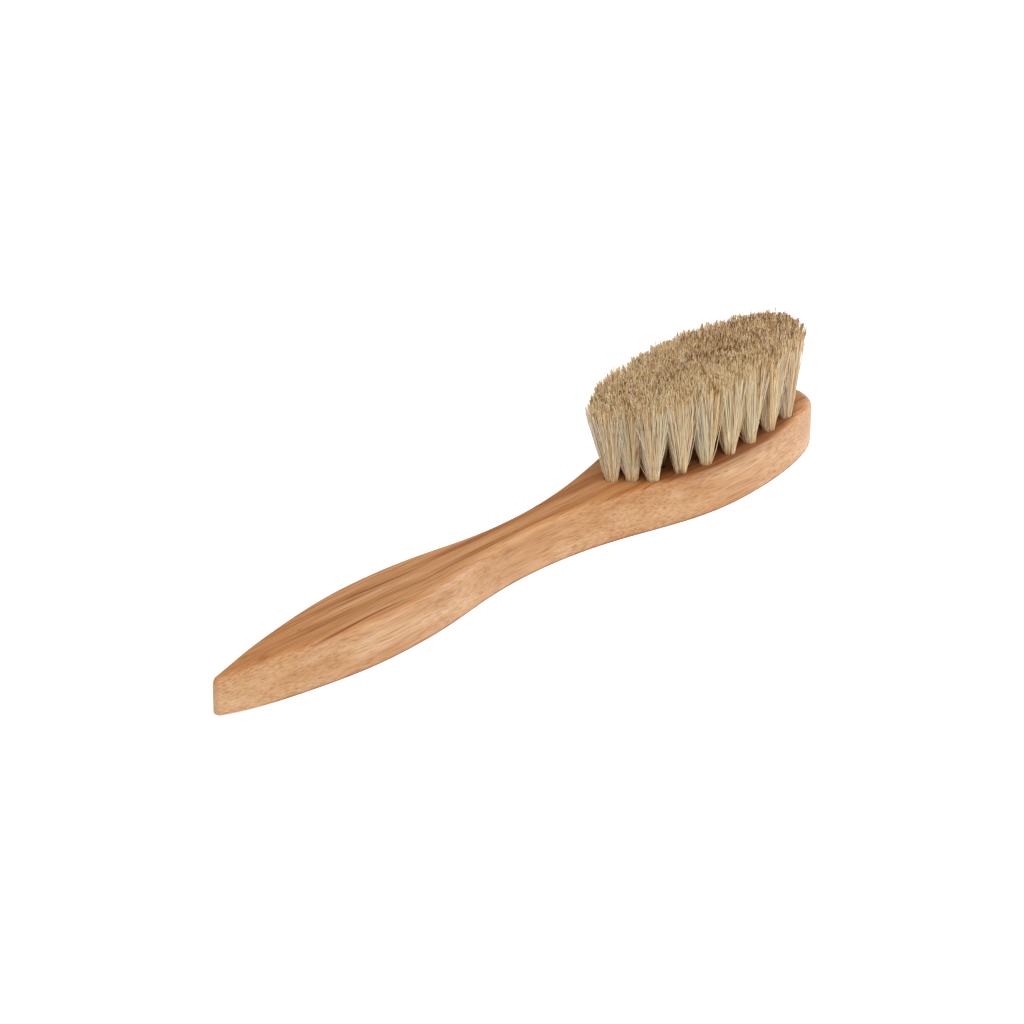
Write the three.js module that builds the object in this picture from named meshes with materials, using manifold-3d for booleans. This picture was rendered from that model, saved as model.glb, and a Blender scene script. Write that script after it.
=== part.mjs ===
// A shoe polish applicator brush, lying on its flat back with the hair upwards.
// The handle is cut from one board: a pointed grip with a belly, a slim waist and a leaf-shaped
// head. Each blind hole in the head holds a tuft of horsehair, folded in half under a flat metal
// anchor whose two ends bite into the wall of the hole.
// Millimetres, +Z up. The origin is on the back face, halfway along, on the centre line,
// and +X runs from the tip of the grip to the head.

import * as THREE from 'three';
import { mergeVertices } from 'three/addons/utils/BufferGeometryUtils.js';
import Module from 'manifold-3d';

const wasm = await Module();
wasm.setup();

// Handle: its length, where its belly, waist and head lie as shares of it, then full widths
const HANDLE_LENGTH = 180;
const BELLY_SHARE = 0.25;
const WAIST_SHARE = 0.495;
const HEAD_SHARE = 0.809;
const BELLY_WIDTH = 16;
const WAIST_WIDTH = 7.5;
const HEAD_WIDTH = 26;
const STOCK_THICKNESS = 12;
const EDGE_RADIUS = 0.8;
const TIP_RADIUS = 1.15;
const TIP_ANGLE = THREE.MathUtils.degToRad(12);

// Sanding: how far from each end both faces are taken down, and by how much at that end
const TIP_SANDING_LENGTH = 18;
const TIP_SANDING = 1.4;
const END_SANDING_LENGTH = 6;
const END_SANDING = 1.5;

// How long each curve of the outline holds its direction, as a share of the stretch that it spans
const TIP_HOLD = 0.45;
const BELLY_HOLD_TIPWARD = 0.275;
const BELLY_HOLD_WAISTWARD = 0.5;
const WAIST_HOLD_BELLYWARD = 0.4;
const WAIST_HOLD_HEADWARD = 0.475;
const HEAD_HOLD_WAISTWARD = 0.345;
const HEAD_HOLD_ENDWARD = 0.4;
const END_HOLD = 0.72;

// The most that the edges' round may be, as a share of the radius of the tip
const EDGE_LIMIT = 0.85;

// Tuft pattern: an outer row along each edge of the head, two inner rows and one tuft at the point
const FIELD_PAST_HEAD = 0.4;
const OUTER_PITCH = 7;
const OUTER_TUFTS_EACH_WAY = 3;
const INNER_TUFTS = 7;
const INNER_ROW_OFFSET = 3.05;
const OUTER_ROW_INSET = 3.4;

// Tufts: a bundle of hair that rises out of its hole and fans out to a flat-trimmed pad
const CLEARANCE = 0.3;
const BUNDLE_DIAMETER = 3;
const FLOOR_UNDER_HOLE = 3;
const DRILL_POINT_ANGLE = THREE.MathUtils.degToRad(31);
const FOLD_HEIGHT = 1;
const BUNDLE_RISE = 2.2;
const HAIR_LENGTH = 21.2;
const FAN_REACH = 3.7;
const POINT_SPLAY = 2.6;
const END_SPLAY = 1.8;
const CROSS_GATHER = 0.75;
const STRANDS_PER_TUFT = 11;
const STRAND_ROOT_WIDTH = 0.38;
const STRAND_TIP_WIDTH = 0.75;
const STRAND_BURY = 0.5;

// Anchors: flat strips laid across the fold of each tuft
const ANCHOR_WIDTH = 1.6;
const ANCHOR_THICKNESS = 0.4;
const ANCHOR_BITE = 0.5;
const ANCHOR_CHAMFER = 0.3;

// Facets
const TIP_STEPS = 5;
const CURVE_STEPS = 15;
const EDGE_STEPS = 3;
const HOLE_SIDES = 12;
const BUNDLE_SIDES = 8;

// Sizes that follow from the ones above
const TIP_X = -HANDLE_LENGTH / 2;
const BELLY_X = TIP_X + HANDLE_LENGTH * BELLY_SHARE;
const WAIST_X = TIP_X + HANDLE_LENGTH * WAIST_SHARE;
const HEAD_X = TIP_X + HANDLE_LENGTH * HEAD_SHARE;
const END_X = TIP_X + HANDLE_LENGTH;
const TIP_TO_BELLY = BELLY_X - TIP_X;
const BELLY_TO_WAIST = WAIST_X - BELLY_X;
const WAIST_TO_HEAD = HEAD_X - WAIST_X;
const HEAD_TO_END = END_X - HEAD_X;
const FIELD_X = HEAD_X + FIELD_PAST_HEAD;
const OUTER_TUFTS = 2 * OUTER_TUFTS_EACH_WAY + 1;
const POINT_REACH = (OUTER_TUFTS_EACH_WAY + 1) * OUTER_PITCH;
const END_REACH = (OUTER_TUFTS / 2) * OUTER_PITCH;
const HOLE_DIAMETER = BUNDLE_DIAMETER + 2 * CLEARANCE;
const HOLE_DEPTH = STOCK_THICKNESS - FLOOR_UNDER_HOLE;
const DRILL_POINT = (HOLE_DIAMETER / 2) * Math.tan(DRILL_POINT_ANGLE);
const BUNDLE_FLARE = ((FAN_REACH - BUNDLE_DIAMETER / 2) * BUNDLE_RISE) / HAIR_LENGTH;
const BUNDLE_BOTTOM = -HOLE_DEPTH + DRILL_POINT + CLEARANCE;
const ANCHOR_MIDDLE = BUNDLE_BOTTOM + FOLD_HEIGHT + CLEARANCE + ANCHOR_WIDTH / 2;
const ANCHOR_LENGTH = HOLE_DIAMETER + 2 * ANCHOR_BITE;
const CUT_OVERSHOOT = 1;
const STRAND_TIP_REACH = STRAND_TIP_WIDTH * Math.SQRT1_2;
const GOLDEN_ANGLE = Math.PI * (3 - Math.sqrt(5));

const oiledOak = new THREE.MeshStandardMaterial({ color: 0xc08a58, roughness: 0.55, metalness: 0 });
const horsehair = new THREE.MeshStandardMaterial({ color: 0xc7b28c, roughness: 0.7, metalness: 0 });
const anchorSteel = new THREE.MeshStandardMaterial({ color: 0xa8a49c, roughness: 0.4, metalness: 1 });

// Closed triangles of a geometry as a solid that can be joined and cut
function solidOf(geometry) {
  const bare = geometry.clone();
  bare.deleteAttribute('normal');
  bare.deleteAttribute('uv');
  const merged = mergeVertices(bare);
  const corners = merged.index.array;
  const kept = [];
  for (let i = 0; i < corners.length; i += 3) {
    const [a, b, c] = corners.slice(i, i + 3);
    if (a !== b && b !== c && c !== a) {
      kept.push(a, b, c);
    }
  }
  const vertProperties = new Float32Array(merged.attributes.position.array);
  const triVerts = new Uint32Array(kept);
  return new wasm.Manifold(new wasm.Mesh({ numProp: 3, vertProperties, triVerts }));
}

function geometryOf(solid) {
  const { vertProperties, triVerts } = solid.getMesh();
  const geometry = new THREE.BufferGeometry();
  geometry.setAttribute('position', new THREE.BufferAttribute(vertProperties, 3));
  geometry.setIndex(new THREE.BufferAttribute(triVerts, 1));
  geometry.computeVertexNormals();
  return geometry;
}

// A profile of [radius, height] pairs, bottom to top, turned about the Z axis
function turned(profile, sides) {
  const points = profile.map(([radius, height]) => new THREE.Vector2(radius, height));
  return new THREE.LatheGeometry(points, sides).rotateX(Math.PI / 2);
}

// A cubic curve between two points, leaving and arriving along the given handles
function curveBetween(start, leaving, arriving, end) {
  const afterStart = start.clone().add(leaving);
  const beforeEnd = end.clone().sub(arriving);
  return new THREE.CubicBezierCurve(start, afterStart, beforeEnd, end);
}

// Half of the handle's outline, from the tip along the +Y side to the middle of the head's end
function halfOutline() {
  const along = (length) => new THREE.Vector2(length, 0);
  const tip = new THREE.EllipseCurve(
    TIP_X + TIP_RADIUS, 0, TIP_RADIUS, TIP_RADIUS, Math.PI, Math.PI / 2 + TIP_ANGLE, true);
  const shoulder = tip.getPoint(1);
  const belly = new THREE.Vector2(BELLY_X, BELLY_WIDTH / 2);
  const waist = new THREE.Vector2(WAIST_X, WAIST_WIDTH / 2);
  const head = new THREE.Vector2(HEAD_X, HEAD_WIDTH / 2);
  const end = new THREE.Vector2(END_X, 0);
  const flank = new THREE.Vector2(Math.cos(TIP_ANGLE), Math.sin(TIP_ANGLE));
  const curves = [
    curveBetween(
      shoulder, flank.multiplyScalar(TIP_TO_BELLY * TIP_HOLD),
      along(TIP_TO_BELLY * BELLY_HOLD_TIPWARD), belly),
    curveBetween(
      belly, along(BELLY_TO_WAIST * BELLY_HOLD_WAISTWARD),
      along(BELLY_TO_WAIST * WAIST_HOLD_BELLYWARD), waist),
    curveBetween(
      waist, along(WAIST_TO_HEAD * WAIST_HOLD_HEADWARD),
      along(WAIST_TO_HEAD * HEAD_HOLD_WAISTWARD), head),
    curveBetween(
      head, along(HEAD_TO_END * HEAD_HOLD_ENDWARD),
      new THREE.Vector2(0, (-HEAD_WIDTH / 2) * END_HOLD), end),
  ];
  const points = tip.getPoints(TIP_STEPS);
  for (const curve of curves) {
    points.push(...curve.getPoints(CURVE_STEPS).slice(1));
  }
  return points;
}

const edge = halfOutline();

function halfWidthAt(x) {
  const next = edge.findIndex((point) => point.x > x);
  const [a, b] = [edge[next - 1], edge[next]];
  return THREE.MathUtils.mapLinear(x, a.x, b.x, a.y, b.y);
}

// How much of each face is sanded away at a place along the handle: a parabola towards each end
function sandedAt(x) {
  const tipward = Math.max(0, 1 - (x - TIP_X) / TIP_SANDING_LENGTH);
  const endward = Math.max(0, 1 - (END_X - x) / END_SANDING_LENGTH);
  return TIP_SANDING * tipward ** 2 + END_SANDING * endward ** 2;
}

// The way out of the board at a point of the half outline, square to the line of its neighbours
function outwardAt(i) {
  const opposite = (point) => new THREE.Vector2(point.x, -point.y);
  const before = i > 0 ? edge[i - 1] : opposite(edge[1]);
  const after = i < edge.length - 1 ? edge[i + 1] : opposite(edge[i - 1]);
  const along = after.clone().sub(before).normalize();
  return new THREE.Vector2(-along.y, along.x);
}

// The board's edge in section, from the back up to the face, as [inset, height from the middle].
// The rounds are held below the radius of the tip.
function edgeSection() {
  const round = Math.min(EDGE_RADIUS, TIP_RADIUS * EDGE_LIMIT);
  const upper = [];
  for (let i = 0; i <= EDGE_STEPS; i += 1) {
    const turn = (i / EDGE_STEPS) * (Math.PI / 2);
    const height = STOCK_THICKNESS / 2 - round + round * Math.sin(turn);
    upper.push([round * (1 - Math.cos(turn)), height]);
  }
  const lower = upper.map(([inset, height]) => [inset, -height]).reverse();
  return [...lower, ...upper];
}

// The board as one ring of corners per outline point: up the +Y edge, over and down the -Y edge.
// Both faces are thinned towards the ends, so between the sanded lengths they stay flat.
function handleBlank() {
  const middle = STOCK_THICKNESS / 2;
  const section = edgeSection();
  const ring = 2 * section.length;
  const positions = [];
  edge.forEach((point, i) => {
    const outward = outwardAt(i);
    const rising = section.map(([inset, height]) => {
      const x = point.x - inset * outward.x;
      const y = point.y - inset * outward.y;
      return [x, y, middle + height * (1 - sandedAt(x) / middle)];
    });
    const falling = rising.map(([x, y, z]) => [x, -y, z]).reverse();
    positions.push(...rising.flat(), ...falling.flat());
  });
  const corners = [];
  for (let i = 0; i < edge.length - 1; i += 1) {
    for (let k = 0; k < ring; k += 1) {
      const [a, b] = [i * ring + k, i * ring + ((k + 1) % ring)];
      corners.push(a, b, a + ring, b, b + ring, a + ring);
    }
  }
  const blank = new THREE.BufferGeometry();
  blank.setAttribute('position', new THREE.Float32BufferAttribute(positions, 3));
  return blank.setIndex(corners);
}

// Where the tufts stand on the head: a name and a root for each
function tuftPattern() {
  const places = [];
  const pair = (name, x, y) => {
    places.push({ name: `left_${name}`, root: new THREE.Vector2(x, y) });
    places.push({ name: `right_${name}`, root: new THREE.Vector2(x, -y) });
  };
  for (let i = 0; i < OUTER_TUFTS; i += 1) {
    const x = FIELD_X + (i - OUTER_TUFTS_EACH_WAY) * OUTER_PITCH;
    pair(`outer_${i + 1}`, x, halfWidthAt(x) - OUTER_ROW_INSET);
  }
  for (let i = 0; i < INNER_TUFTS; i += 1) {
    const x = FIELD_X + ((2 * i) / (INNER_TUFTS - 1) - 1) * END_REACH;
    pair(`inner_${i + 1}`, x, INNER_ROW_OFFSET);
  }
  places.push({ name: 'point', root: new THREE.Vector2(FIELD_X - POINT_REACH, 0) });
  return places.map((place) => ({ ...place, tip: tipOver(place.root) }));
}

// The middle of a tuft at the trimmed face: tufts splay towards both ends and gather crossways
function tipOver(root) {
  const fromField = root.x - FIELD_X;
  const splay = fromField < 0
    ? -POINT_SPLAY * (fromField / POINT_REACH) ** 2
    : END_SPLAY * (fromField / END_REACH) ** 2;
  return new THREE.Vector2(root.x + splay, root.y * CROSS_GATHER);
}

// How far strand middles may go from a tuft's tip in one direction, up to its neighbours or the rim
function reachAlong(direction, tip, places) {
  let reach = FAN_REACH - STRAND_TIP_REACH;
  for (const neighbour of places) {
    const across = neighbour.tip.clone().sub(tip);
    const ahead = across.dot(direction);
    const distance = across.length();
    if (ahead > 0) {
      const room = distance / 2 - STRAND_TIP_REACH - CLEARANCE / 2;
      reach = Math.min(reach, (room * distance) / ahead);
    }
  }
  return reach;
}

// One strand: a slim four-sided taper that leans from its foot in the bundle to its top on the pad
function strandGeometry(foot, top, turn) {
  const bottom = BUNDLE_RISE - STRAND_BURY;
  const strand = new THREE.BoxGeometry(1, 1, 1).rotateZ(turn);
  const corners = strand.attributes.position;
  for (let i = 0; i < corners.count; i += 1) {
    const rise = corners.getZ(i) + 0.5;
    const width = THREE.MathUtils.lerp(STRAND_ROOT_WIDTH, STRAND_TIP_WIDTH, rise);
    const middle = foot.clone().lerp(top, rise);
    const x = middle.x + corners.getX(i) * width;
    const y = middle.y + corners.getY(i) * width;
    corners.setXYZ(i, x, y, THREE.MathUtils.lerp(bottom, HAIR_LENGTH, rise));
  }
  return strand;
}

// The folded bundle: round at the fold, straight in its hole and flared above the wood
function bundleSolid() {
  const radius = BUNDLE_DIAMETER / 2;
  const bundle = turned([
    [0, BUNDLE_BOTTOM],
    [radius - FOLD_HEIGHT / 2, BUNDLE_BOTTOM],
    [radius, BUNDLE_BOTTOM + FOLD_HEIGHT],
    [radius, 0],
    [radius + BUNDLE_FLARE, BUNDLE_RISE],
    [0, BUNDLE_RISE],
  ], BUNDLE_SIDES);
  return solidOf(bundle).subtract(solidOf(anchorRoom(HOLE_DIAMETER)));
}

// The space that an anchor takes up, with clearance all round, for a given length
function anchorRoom(length) {
  const width = ANCHOR_THICKNESS + 2 * CLEARANCE;
  const height = ANCHOR_WIDTH + 2 * CLEARANCE;
  return new THREE.BoxGeometry(length, width, height).translate(0, 0, ANCHOR_MIDDLE);
}

// A whole tuft about its own root: strands on an even spiral, each kept on its own bearing
function tuftGeometry(place, places) {
  const lean = place.tip.clone().sub(place.root);
  const footReach = BUNDLE_DIAMETER / 2 + BUNDLE_FLARE - STRAND_ROOT_WIDTH;
  let tuft = bundleSolid();
  for (let i = 0; i < STRANDS_PER_TUFT; i += 1) {
    const bearing = i * GOLDEN_ANGLE;
    const outward = Math.sqrt((i + 0.5) / STRANDS_PER_TUFT);
    const direction = new THREE.Vector2(Math.cos(bearing), Math.sin(bearing));
    const topReach = reachAlong(direction, place.tip, places);
    const foot = direction.clone().multiplyScalar(outward * footReach);
    const top = direction.clone().multiplyScalar(outward * topReach).add(lean);
    tuft = tuft.add(solidOf(strandGeometry(foot, top, bearing)));
  }
  return geometryOf(tuft);
}

// A flat strip on edge, with its four corners nipped off so that it drives into the wood
function anchorGeometry() {
  const x = ANCHOR_LENGTH / 2;
  const y = ANCHOR_WIDTH / 2;
  const nip = ANCHOR_CHAMFER;
  const face = new THREE.Shape();
  face.moveTo(-x + nip, -y);
  face.lineTo(x - nip, -y);
  face.lineTo(x, -y + nip);
  face.lineTo(x, y - nip);
  face.lineTo(x - nip, y);
  face.lineTo(-x + nip, y);
  face.lineTo(-x, y - nip);
  face.lineTo(-x, -y + nip);
  face.closePath();
  const strip = new THREE.ExtrudeGeometry(face, { depth: ANCHOR_THICKNESS, bevelEnabled: false });
  return strip.translate(0, 0, -ANCHOR_THICKNESS / 2).rotateX(Math.PI / 2);
}

// The blank with a drilled hole for each tuft and the slots that the anchors cut for themselves
function handleGeometry(places) {
  const radius = HOLE_DIAMETER / 2;
  const drilled = solidOf(turned([
    [0, -HOLE_DEPTH],
    [radius, -HOLE_DEPTH + DRILL_POINT],
    [radius, CUT_OVERSHOOT],
    [0, CUT_OVERSHOOT],
  ], HOLE_SIDES));
  const cutter = drilled.add(solidOf(anchorRoom(ANCHOR_LENGTH + 2 * CLEARANCE)));
  let handle = solidOf(handleBlank());
  for (const { root } of places) {
    handle = handle.subtract(cutter.translate([root.x, root.y, STOCK_THICKNESS]));
  }
  return geometryOf(handle);
}

function piece(name, geometry, material) {
  const mesh = new THREE.Mesh(geometry, material);
  mesh.name = name;
  return mesh;
}

const places = tuftPattern();
const brush = new THREE.Group();
brush.add(piece('handle', handleGeometry(places), oiledOak));

// Tufts and anchors are set out on the face of the head
const face = new THREE.Group();
face.position.z = STOCK_THICKNESS;
brush.add(face);
for (const place of places) {
  const tuft = piece(`tuft_${place.name}`, tuftGeometry(place, places), horsehair);
  const anchor = piece(`anchor_${place.name}`, anchorGeometry(), anchorSteel);
  tuft.position.set(place.root.x, place.root.y, 0);
  anchor.position.set(place.root.x, place.root.y, ANCHOR_MIDDLE);
  face.add(tuft, anchor);
}

export default brush;
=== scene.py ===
# %% [markdown]
# # A polish brush with a waisted wooden handle
# The brush lies on its flat back with the hair upwards. It is one oak handle, twenty-nine tufts
# of horsehair set in drilled holes, and a flat metal anchor down in each hole. The measured solids
# are loaded first as a fixed frame, and each surface here is worked out in the same place.
# Lengths are written in millimetres and turned into metres when a mesh is made.

# %% Load the frame
import math

import bmesh
import bpy
import numpy as np
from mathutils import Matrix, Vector


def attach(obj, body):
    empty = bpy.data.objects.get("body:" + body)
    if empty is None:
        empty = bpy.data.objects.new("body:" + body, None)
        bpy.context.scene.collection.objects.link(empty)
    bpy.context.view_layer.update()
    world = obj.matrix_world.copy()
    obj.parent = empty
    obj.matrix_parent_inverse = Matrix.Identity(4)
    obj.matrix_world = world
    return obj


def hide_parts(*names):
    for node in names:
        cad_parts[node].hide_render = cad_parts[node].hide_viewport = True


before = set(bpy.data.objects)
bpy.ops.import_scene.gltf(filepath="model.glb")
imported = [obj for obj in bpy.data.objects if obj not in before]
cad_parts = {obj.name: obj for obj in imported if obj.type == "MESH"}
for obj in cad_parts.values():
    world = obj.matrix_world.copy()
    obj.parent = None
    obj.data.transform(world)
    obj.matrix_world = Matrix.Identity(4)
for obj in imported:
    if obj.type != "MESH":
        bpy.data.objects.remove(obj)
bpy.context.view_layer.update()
MM = 0.001
print("nodes in the frame:", len(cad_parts))

# %% [markdown]
# ## One way to make every piece
# A surface is a block of points and a block of faces, so one helper can turn any such pair into a
# mesh. It shades smoothly, sits at the origin, rides on the brush's only body and hides the solid
# it stands for. Points could be added one by one, but whole arrays are quicker and easier to read.

# %% Put arrays into a mesh


def shade_smooth(mesh):
    """Every face of a mesh is shaded smoothly."""
    mesh.polygons.foreach_set("use_smooth", np.ones(len(mesh.polygons), dtype=bool))


def mesh_of(name, points, faces):
    """A smooth-shaded mesh from points in millimetres and lists of corner numbers."""
    mesh = bpy.data.meshes.new(name)
    mesh.from_pydata((points * MM).tolist(), [], faces)
    shade_smooth(mesh)
    return mesh


def in_scene(name, data):
    """A new object at the origin that holds a mesh, a lamp or the camera."""
    thing = bpy.data.objects.new(name, data)
    bpy.context.scene.collection.objects.link(thing)
    return thing


def show(name, mesh, material, node):
    """A piece at the origin, with one finish, that stands for one solid of the frame."""
    piece = in_scene(name, mesh)
    mesh.materials.append(material)
    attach(piece, "root")
    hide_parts(node)
    return piece


def grid_faces(rows, columns):
    """Quads of a grid that is closed round its columns, so that the last one joins the first.

    Point (r, c) joins (r, c+1), (r+1, c+1) and (r+1, c)."""
    r = np.arange(rows - 1)[:, None]
    c = np.arange(columns)[None, :]
    after = (c + 1) % columns
    corners = (r * columns + c, r * columns + after,
               (r + 1) * columns + after, (r + 1) * columns + c)
    return np.stack(corners, axis=-1).reshape(-1, 4)


print("a closed 3 by 4 grid has", len(grid_faces(3, 4)), "faces")

# %% [markdown]
# ## The outline of the handle
# A maker marks this outline on the board with a template: a small round tip, a belly for the palm,
# a slim waist for the fingers and a leaf-shaped head. Four cubic curves that share their directions
# where they meet give a line with no kinks, and few numbers steer it.

# %% Half of the outline
TIP_X, BELLY_X, WAIST_X, HEAD_X, END_X = -90.0, -45.0, -0.9, 55.62, 90.0
BELLY_WIDTH, WAIST_WIDTH, HEAD_WIDTH = 16.0, 7.5, 26.0
TIP_RADIUS, TIP_ANGLE = 1.15, math.radians(12)
TIP_LEAVING, BELLY_ARRIVING = 0.45, 0.275
BELLY_LEAVING, WAIST_ARRIVING = 0.5, 0.4
WAIST_LEAVING, HEAD_ARRIVING = 0.475, 0.345
HEAD_LEAVING, END_ARRIVING = 0.4, 0.72
TIP_POINTS, CURVE_POINTS = 18, 72


def cubic(start, leaving, arriving, end):
    """Points of a cubic curve: both ends and two steered points, blended by powers of t and 1-t."""
    t = np.linspace(0, 1, CURVE_POINTS + 1)[1:, None]
    steered = start + leaving, end - arriving
    return ((1 - t) ** 3 * start + 3 * (1 - t) ** 2 * t * steered[0]
            + 3 * (1 - t) * t ** 2 * steered[1] + t ** 3 * end)


def half_outline():
    """Tip arc, then tip to belly, belly to waist, waist to head and head to end, on the +Y side.

    A curve leaves and arrives along the handle, for a share of the span that it crosses. Only the
    first leaves along the tip's flank, and only the last arrives straight across the handle."""
    turn = np.linspace(math.pi, math.pi / 2 + TIP_ANGLE, TIP_POINTS)
    tip = np.stack([TIP_X + TIP_RADIUS + TIP_RADIUS * np.cos(turn),
                    TIP_RADIUS * np.sin(turn)], axis=1)
    marks = np.array([tip[-1], [BELLY_X, BELLY_WIDTH / 2], [WAIST_X, WAIST_WIDTH / 2],
                      [HEAD_X, HEAD_WIDTH / 2], [END_X, 0]])
    spans = np.array([BELLY_X - TIP_X, WAIST_X - BELLY_X, HEAD_X - WAIST_X, END_X - HEAD_X])
    ahead = np.array([1.0, 0.0])
    flank = np.array([math.cos(TIP_ANGLE), math.sin(TIP_ANGLE)])
    across = np.array([0.0, -HEAD_WIDTH / 2])
    leaving = [TIP_LEAVING * spans[0] * flank, BELLY_LEAVING * spans[1] * ahead,
               WAIST_LEAVING * spans[2] * ahead, HEAD_LEAVING * spans[3] * ahead]
    arriving = [BELLY_ARRIVING * spans[0] * ahead, WAIST_ARRIVING * spans[1] * ahead,
                HEAD_ARRIVING * spans[2] * ahead, END_ARRIVING * across]
    curves = [cubic(*terms) for terms in zip(marks[:-1], leaving, arriving, marks[1:])]
    return np.concatenate([tip, *curves])


outline = half_outline()
print("outline points:", len(outline), "widest half:", outline[:, 1].max())

# %% [markdown]
# ## The handle
# After sawing, the board's edges are rounded over and both faces are sanded down towards the ends.
# The face's edge is rounded a little more where it is held, and most at its two ends.
# Here every outline point carries the same cross profile: from the middle of the back out to the
# edge, round the edge, up the side, round again and in to the middle of the face. Bevel could round
# a sawn-out plate, but its corners would bunch up at the tip, where the profile keeps an even grid.

# %% Thickness and rounding along the handle
THICKNESS, EDGE_RADIUS, EDGE_SOFTENING, BACK_RADIUS = 12.0, 0.8, 1.0, 0.4
TIP_SANDING, TIP_SANDING_LENGTH = 1.4, 18.0
END_SANDING, END_SANDING_LENGTH = 1.5, 6.0
TIP_ROLL, TIP_ROLL_LENGTH = 2.6, 14.0
END_ROLL, END_ROLL_LENGTH = 2.4, 16.0
GRIP_END, FIELD_START = 5.0, 40.0


def towards(x, end, length):
    """0 further than a length from one end of the handle, and a parabola up to 1 at that end."""
    return np.clip(1 - np.abs(x - end) / length, 0, 1) ** 2


def half_thickness(x):
    """Half the board, less what is sanded off each face towards the tip and the head's end."""
    return (THICKNESS / 2 - TIP_SANDING * towards(x, TIP_X, TIP_SANDING_LENGTH)
            - END_SANDING * towards(x, END_X, END_SANDING_LENGTH))


def face_round(x):
    """How far the round of the face's edge reaches inwards and downwards.

    Both are the edge's radius, more along the grip and much more at the head's end. At the tip the
    round reaches further down, but not further in."""
    at_tip, at_end = towards(x, TIP_X, TIP_ROLL_LENGTH), towards(x, END_X, END_ROLL_LENGTH)
    held = np.clip((FIELD_START - x) / (FIELD_START - GRIP_END), 0, 1)
    inward = EDGE_RADIUS + EDGE_SOFTENING * held * (1 - at_tip) + END_ROLL * at_end
    return inward, inward + TIP_ROLL * at_tip


print("half thickness at tip, waist and end:", half_thickness(np.array([TIP_X, WAIST_X, END_X])))

# %% Carry the cross profile round the outline
FACE_ROWS, ROUND_ROWS, SIDE_ROWS = 10, 9, 8
FACE_CROWDING = 0.6


def handle_surface():
    """Profile row by outline point: inset along the outline's normal, height, share of the width.

    On a round that reaches r inwards and h down, inset = r (1 - cos a) and height = h sin a past
    the straight side. On the two faces the width shrinks to nothing at the middle line. Heights
    are scaled to the sanded thickness, and the other half is the mirror image."""
    along = np.gradient(outline, axis=0)
    along[0], along[-1] = (0, 1), (0, -1)
    normal = np.stack([-along[:, 1], along[:, 0]], axis=1)
    normal /= np.linalg.norm(along, axis=1)[:, None]
    inward, downward = face_round(outline[:, 0])
    a = np.linspace(0, math.pi / 2, ROUND_ROWS)[:, None]
    up = np.linspace(0, 1, SIDE_ROWS)[1:-1, None]
    middle, flat = THICKNESS / 2, np.ones((FACE_ROWS - 1, len(outline)))
    side = (1 - up) * (BACK_RADIUS - middle) + up * (middle - downward)
    inset = np.concatenate([
        BACK_RADIUS * flat, BACK_RADIUS * (1 - np.cos(a[::-1])) * flat[:1], 0 * side,
        inward * (1 - np.cos(a)), inward * flat])
    height = np.concatenate([
        -middle * flat, (BACK_RADIUS - middle - BACK_RADIUS * np.sin(a[::-1])) * flat[:1], side,
        middle - downward + downward * np.sin(a), middle * flat])
    shrink = np.linspace(0, 1, FACE_ROWS) ** FACE_CROWDING
    share = np.concatenate([shrink[:-1], np.ones(2 * ROUND_ROWS + len(up)), shrink[::-1][1:]])
    plan = outline[None] - inset[..., None] * normal[None]
    x = plan[..., 0]
    y = np.clip(plan[..., 1], 0, None) * share[:, None]
    z = middle + height * half_thickness(x) / middle
    half = np.stack([x, y, z], axis=-1)
    mirrored = half[-2:0:-1] * np.array([1, -1, 1])
    return np.concatenate([half, mirrored]).transpose(1, 0, 2)


surface = handle_surface()
print("handle grid:", surface.shape)

# %% [markdown]
# ## Where the tufts stand
# The head is filled in five groups: a row that follows each edge, two straight rows inside them and
# one tuft where the rows run together. The list is worked out by the same rule as the solids, so
# each name here matches a solid there. At the pad, the rows draw together across the brush and
# spread along it. They draw in a little less than the solids do, to give the pad's loose rim, and
# a little more at the head's end.

# %% The tuft pattern
FIELD_X, OUTER_PITCH, OUTER_EACH_WAY = 56.02, 7.0, 3
INNER_COUNT, INNER_REACH, INNER_OFFSET = 7, 24.5, 3.05
OUTER_INSET, POINT_REACH = 3.4, 28.0
POINT_SPLAY, END_SPLAY, CROSS_GATHER, END_GATHER = 2.6, 1.8, 0.84, 0.24


def tuft_pattern():
    """Names and roots of the tufts, as places on the face.

    Outer tufts stand at an even pitch, a set distance inside the edge, inner ones on two straight
    lines, and one on the middle line."""
    step = np.arange(-OUTER_EACH_WAY, OUTER_EACH_WAY + 1)
    outer_x = FIELD_X + OUTER_PITCH * step
    outer_y = np.interp(outer_x, outline[:, 0], outline[:, 1]) - OUTER_INSET
    inner_x = FIELD_X + np.linspace(-INNER_REACH, INNER_REACH, INNER_COUNT)
    inner_y = np.full(INNER_COUNT, INNER_OFFSET)
    names, roots = ["point"], [(FIELD_X - POINT_REACH, 0.0)]
    for row, xs, ys in (("outer", outer_x, outer_y), ("inner", inner_x, inner_y)):
        for side, sign in (("left", 1), ("right", -1)):
            names += [f"{side}_{row}_{i + 1}" for i in range(len(xs))]
            roots += list(zip(xs, sign * ys))
    return names, np.array(roots)


names, roots = tuft_pattern()
from_field = roots[:, 0] - FIELD_X
splay = np.where(from_field < 0, -POINT_SPLAY * (from_field / POINT_REACH) ** 2,
                 END_SPLAY * (from_field / INNER_REACH) ** 2)
endward = np.clip(from_field / INNER_REACH, 0, 1) ** 2
gather = CROSS_GATHER - END_GATHER * endward
tips = np.stack([roots[:, 0] + splay, roots[:, 1] * gather], axis=1)
print("tufts:", len(names), "from x", roots[:, 0].min(), "to", roots[:, 0].max())

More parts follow.
